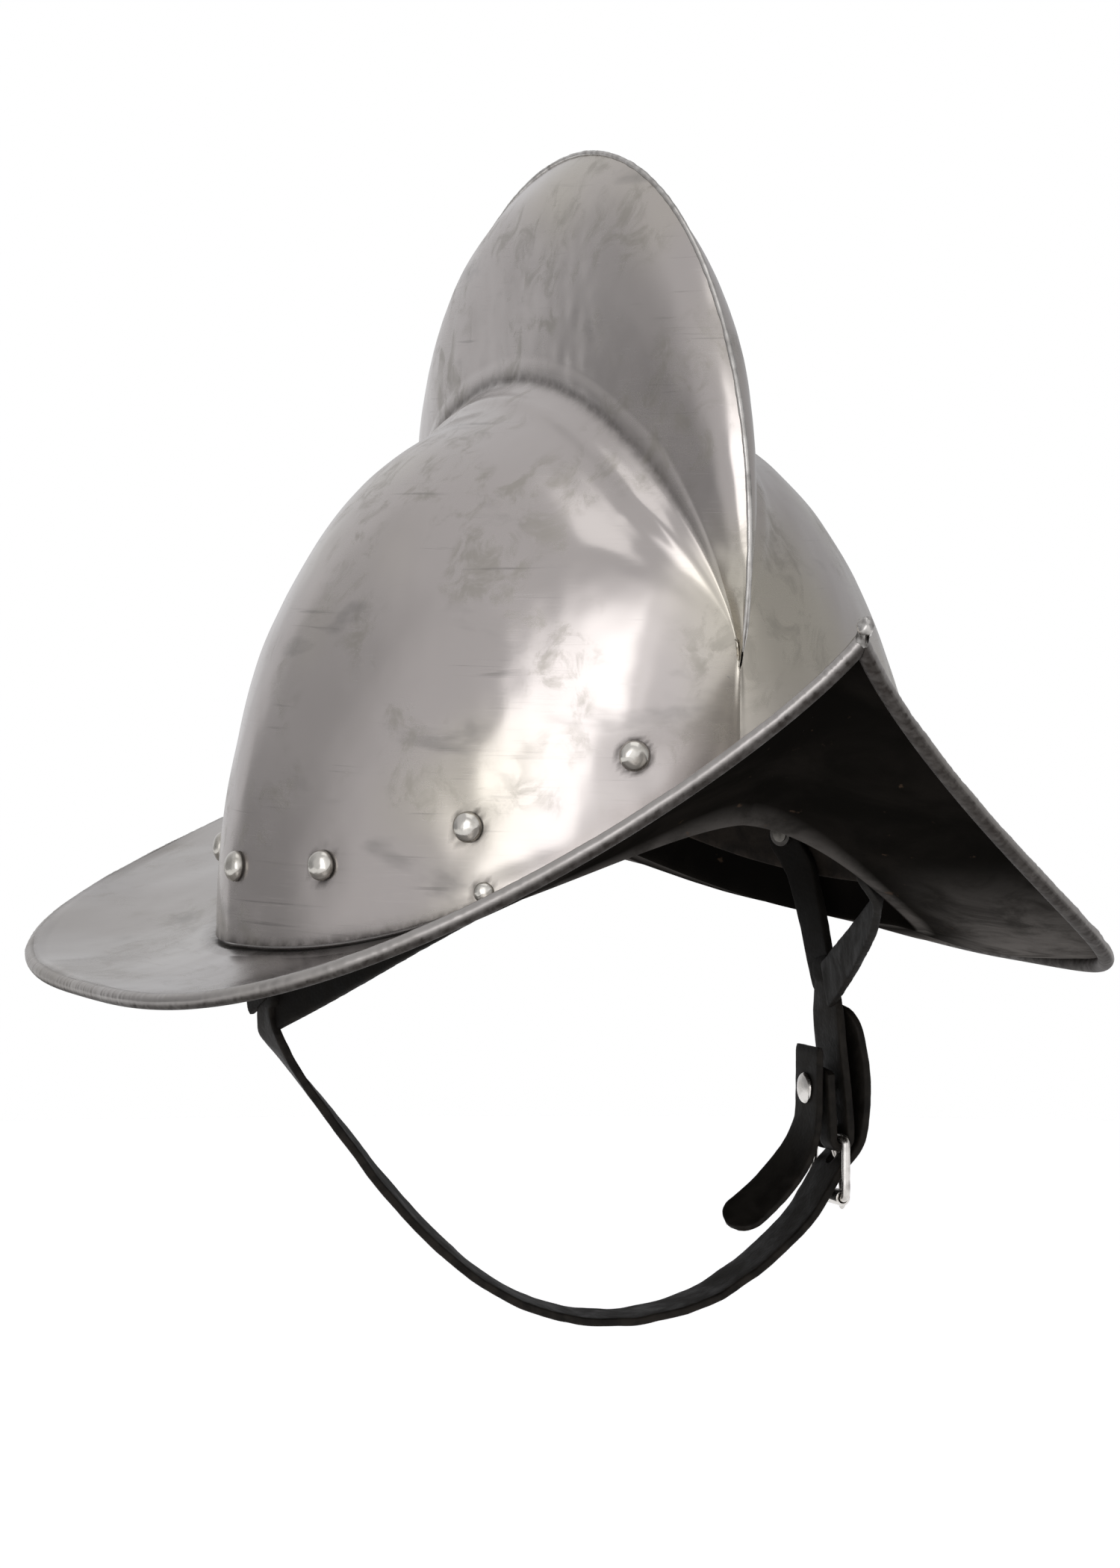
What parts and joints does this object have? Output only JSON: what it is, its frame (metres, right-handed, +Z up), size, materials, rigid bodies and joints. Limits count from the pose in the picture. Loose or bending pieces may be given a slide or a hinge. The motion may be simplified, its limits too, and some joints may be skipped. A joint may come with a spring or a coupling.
{
  "type": "comb morion helmet",
  "caption": "Open steel helmet with a tall crescent comb, a boat-shaped brim peaked front and back, a riveted leather lining and a buckled chin strap on swinging yokes.",
  "frame": {"origin": "the middle of the head opening, level with the lowest part of the seam between skull and brim", "axes": "+Z up towards the comb, -Y towards the front peak, -X towards the wearer's right"},
  "size_m": [0.2848, 0.3846, 0.3286],
  "materials": {
    "skull_steel": "hand polished with mottled patina, blackened inside",
    "brim_steel": "hand polished, blackened underneath",
    "weld_steel": "filed weld",
    "wire_steel": "plain",
    "rivet_steel": "domed, polished",
    "washer_steel": "plain",
    "liner_leather": "matt",
    "lace_fabric": "waxed cord",
    "strap_leather": "satin black",
    "nickel": "nickel plated"
  },
  "bodies": {
    "helmet": {"skull_right_half": "skull_steel", "skull_left_half": "skull_steel", "comb_seam": "weld_steel", "brim_right_half": "brim_steel", "brim_left_half": "brim_steel", "rim_wire_right": "wire_steel", "rim_wire_left": "wire_steel", "front_peak_weld": "weld_steel", "rear_peak_weld": "weld_steel", "lining_rivets": "rivet_steel", "rivet_washers": "washer_steel", "lining_band": "liner_leather", "liner_lobe_1": "liner_leather", "liner_lobe_2": "liner_leather", "liner_lobe_3": "liner_leather", "liner_lobe_4": "liner_leather", "liner_lobe_5": "liner_leather", "liner_lobe_6": "liner_leather", "liner_lobe_7": "liner_leather", "liner_lobe_8": "liner_leather", "liner_lace": "lace_fabric", "front_anchor_rivets": "rivet_steel", "anchor_washers": "washer_steel", "yoke_right": "strap_leather", "yoke_left": "strap_leather"},
    "chin_strap": {"long_strap": "strap_leather", "buckle_strap": "strap_leather", "buckle_flap": "strap_leather", "flap_rivet": "nickel", "buckle_frame": "nickel"},
    "roller": {"buckle_roller": "nickel"},
    "prong": {"buckle_prong": "nickel"}
  },
  "joints": [
    {"name": "chin_strap_swing", "type": "hinge", "parent": "helmet", "child": "chin_strap", "pos_m": [0, 0.008, -0.0286], "axis": [1, 0, 0], "range_deg": [-35, 35]},
    {"name": "roller_spin", "type": "hinge", "parent": "chin_strap", "child": "roller", "pos_m": [0.086, 0.008, -0.08], "axis": [0, 1, 0], "continuous": true},
    {"name": "prong_lift", "type": "hinge", "parent": "chin_strap", "child": "prong", "pos_m": [0.086, 0.008, -0.063], "axis": [0, -1, 0], "range_deg": [0, 6]}
  ]
}
